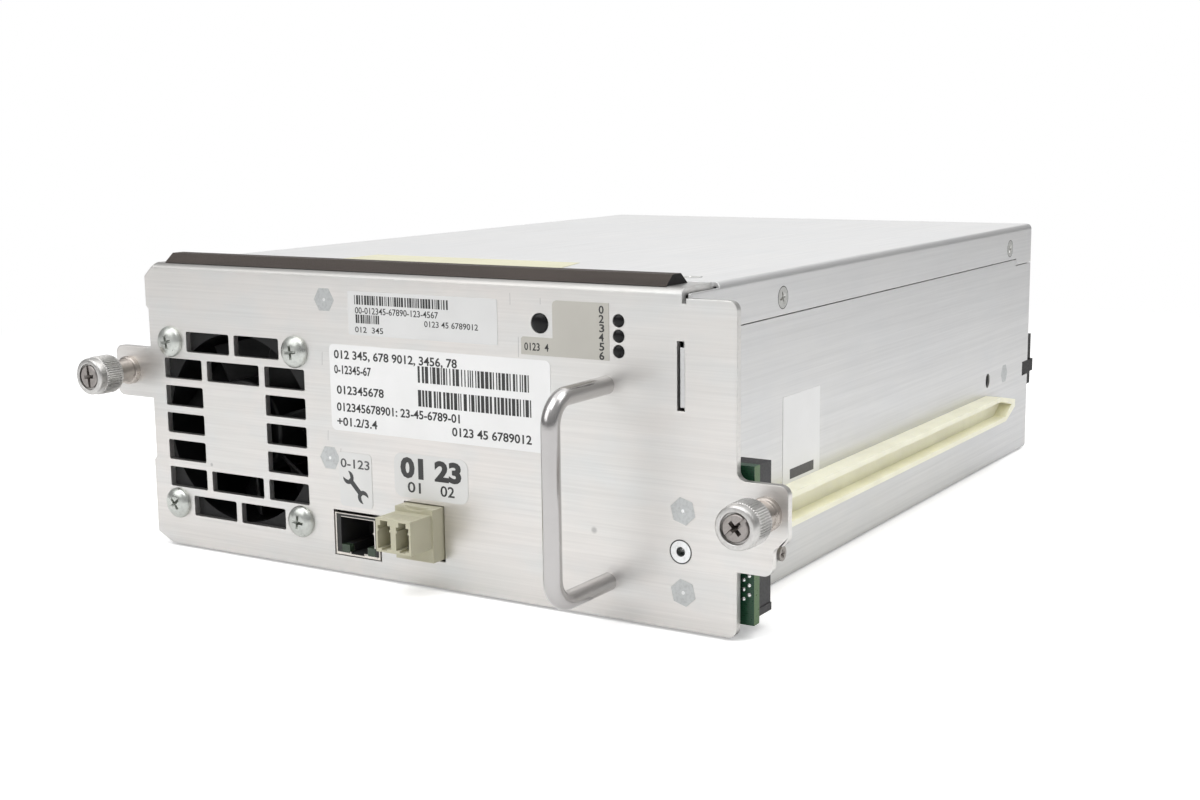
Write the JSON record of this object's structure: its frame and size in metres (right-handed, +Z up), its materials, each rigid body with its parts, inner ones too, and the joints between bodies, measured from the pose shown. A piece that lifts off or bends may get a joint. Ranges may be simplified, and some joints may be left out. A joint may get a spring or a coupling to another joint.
{
  "type": "tape drive sled",
  "caption": "Slide-in data tape drive module: sheet-steel sled with fan, ports, bar handle, captive thumbscrews, side rails and a cartridge mouth at the far end.",
  "frame": {"origin": "centre of the flat bottom", "axes": "-Y towards the service panel, +Y towards the cartridge mouth, +X to the right seen from the panel side, +Z up"},
  "size_m": [0.231, 0.31, 0.0902],
  "materials": {
    "panel_steel": "bare zinc-plated sheet, faint rolling grain",
    "chassis_steel": "bare zinc-plated sheet",
    "cover_steel": "bare zinc-plated sheet, soft sheen",
    "gasket_foam": "conductive fabric over foam, dark grey-brown",
    "handle_steel": "polished, slightly satin",
    "fan_plastic": "black moulded",
    "fan_screw_steel": "plated pan head",
    "knob_steel": "turned, nickel-plated",
    "thumb_screw_steel": "plated",
    "spring_steel": "drawn wire",
    "screw_steel": "plated",
    "jack_nickel": "nickel-plated shield",
    "jack_plastic": "black moulded",
    "jack_light_plastic": "dark lens",
    "contact_gold": "gold-plated",
    "adapter_plastic": "beige moulded",
    "sleeve_ceramic": "white ceramic",
    "board_laminate": "green solder mask",
    "stud_steel": "plated",
    "light_plastic": "clear light pipe, milky",
    "connector_plastic": "dark grey moulded",
    "rail_nylon": "cream nylon",
    "bezel_plastic": "dark grey moulded",
    "drive_aluminium": "die-cast",
    "drive_sheet": "plated sheet",
    "motor_steel": "plated can",
    "hub_plastic": "white moulded",
    "roller_aluminium": "turned",
    "head_ceramic": "lapped ceramic",
    "tray_plastic": "black moulded"
  },
  "bodies": {
    "sled": {"rear_panel": "panel_steel", "chassis_tray": "chassis_steel", "top_cover": "cover_steel", "end_plate": "chassis_steel", "side_brackets": "chassis_steel", "cover_screws": "screw_steel", "top_gasket": "gasket_foam", "carry_handle": "handle_steel", "pan_head_screws": "screw_steel", "fan_frame": "fan_plastic", "fan_screws": "fan_screw_steel", "thumb_ferrules": "knob_steel", "jack_shield": "jack_nickel", "jack_insert": "jack_plastic", "jack_lights": "jack_light_plastic", "jack_contacts": "contact_gold", "optical_adapter": "adapter_plastic", "adapter_sleeves": "sleeve_ceramic", "interface_board": "board_laminate", "board_standoffs": "stud_steel", "light_pipes": "light_plastic", "connector_board": "board_laminate", "blind_mate_connector": "connector_plastic", "connector_pins": "contact_gold", "connector_studs": "stud_steel", "connector_nuts": "stud_steel", "threaded_bush": "stud_steel", "left_guide_rail": "rail_nylon", "right_guide_rail": "rail_nylon", "wall_post": "stud_steel", "side_screw": "screw_steel", "loader_bezel": "bezel_plastic", "door_pin": "screw_steel", "door_spring": "spring_steel", "drive_base": "drive_aluminium", "drive_cover": "drive_sheet", "drive_board": "board_laminate", "supply_motor": "motor_steel", "take_up_motor": "motor_steel", "head_actuator": "motor_steel", "tray_guides": "tray_plastic"},
    "fan_rotor": {"fan_rotor": "fan_plastic"},
    "left_thumb_spring": {"left_thumb_spring": "spring_steel"},
    "left_thumbscrew": {"left_thumb_knob": "knob_steel", "left_thumb_screw": "thumb_screw_steel"},
    "right_thumb_spring": {"right_thumb_spring": "spring_steel"},
    "right_thumbscrew": {"right_thumb_knob": "knob_steel", "right_thumb_screw": "thumb_screw_steel"},
    "cartridge_door": {"cartridge_door": "bezel_plastic"},
    "cartridge_tray": {"cartridge_tray": "tray_plastic"},
    "take_up_reel": {"take_up_reel": "hub_plastic"},
    "supply_hub": {"supply_hub": "hub_plastic"},
    "entry_roller": {"entry_roller": "roller_aluminium"},
    "front_head_roller": {"front_head_roller": "roller_aluminium"},
    "rear_head_roller": {"rear_head_roller": "roller_aluminium"},
    "reel_roller": {"reel_roller": "roller_aluminium"},
    "head": {"head_carriage": "drive_aluminium", "tape_head": "head_ceramic"},
    "threading_arm": {"threading_arm": "drive_sheet"}
  },
  "joints": [
    {"name": "fan_spin", "type": "hinge", "parent": "sled", "child": "fan_rotor", "pos_m": [-0.0611, -0.1228, 0.0387], "axis": [0, 1, 0], "continuous": true},
    {"name": "left_thumbscrew_press", "type": "slide", "parent": "sled", "child": "left_thumb_spring", "axis": [0, 1, 0], "range_m": [0, 0.0046], "stiffness_N_per_m": 400},
    {"name": "left_thumbscrew_turn", "type": "hinge", "parent": "left_thumb_spring", "child": "left_thumbscrew", "pos_m": [-0.1043, -0.1488, 0.0538], "axis": [0, 1, 0], "continuous": true},
    {"name": "right_thumbscrew_press", "type": "slide", "parent": "sled", "child": "right_thumb_spring", "axis": [0, 1, 0], "range_m": [0, 0.0046], "stiffness_N_per_m": 400},
    {"name": "right_thumbscrew_turn", "type": "hinge", "parent": "right_thumb_spring", "child": "right_thumbscrew", "pos_m": [0.114, -0.1488, 0.0334], "axis": [0, 1, 0], "continuous": true},
    {"name": "cartridge_door_swing", "type": "hinge", "parent": "sled", "child": "cartridge_door", "pos_m": [0, 0.141, 0.0469], "axis": [1, 0, 0], "range_deg": [-86, 0], "stiffness_Nm_per_rad": 0.004},
    {"name": "cartridge_tray_load", "type": "slide", "parent": "sled", "child": "cartridge_tray", "axis": [0, 1, 0], "range_m": [-0.014, 0]},
    {"name": "take_up_reel_spin", "type": "hinge", "parent": "sled", "child": "take_up_reel", "pos_m": [0.008, -0.0338, 0.034], "axis": [0, 0, 1], "continuous": true},
    {"name": "supply_hub_spin", "type": "hinge", "parent": "sled", "child": "supply_hub", "pos_m": [0, 0.0502, 0.019], "axis": [0, 0, 1], "continuous": true},
    {"name": "entry_roller_spin", "type": "hinge", "parent": "sled", "child": "entry_roller", "pos_m": [-0.052, -0.0098, 0.034], "axis": [0, 0, 1], "continuous": true},
    {"name": "front_head_roller_spin", "type": "hinge", "parent": "sled", "child": "front_head_roller", "pos_m": [-0.061, -0.0248, 0.034], "axis": [0, 0, 1], "continuous": true},
    {"name": "rear_head_roller_spin", "type": "hinge", "parent": "sled", "child": "rear_head_roller", "pos_m": [-0.061, -0.0488, 0.034], "axis": [0, 0, 1], "continuous": true},
    {"name": "reel_roller_spin", "type": "hinge", "parent": "sled", "child": "reel_roller", "pos_m": [-0.047, -0.0588, 0.034], "axis": [0, 0, 1], "continuous": true},
    {"name": "head_lift", "type": "slide", "parent": "sled", "child": "head", "axis": [0, 0, 1], "range_m": [-0.003, 0.003]},
    {"name": "threading_arm_sweep", "type": "hinge", "parent": "sled", "child": "threading_arm", "pos_m": [-0.02, -0.0058, 0.052], "axis": [0, 0, 1], "range_deg": [0, 184]}
  ]
}
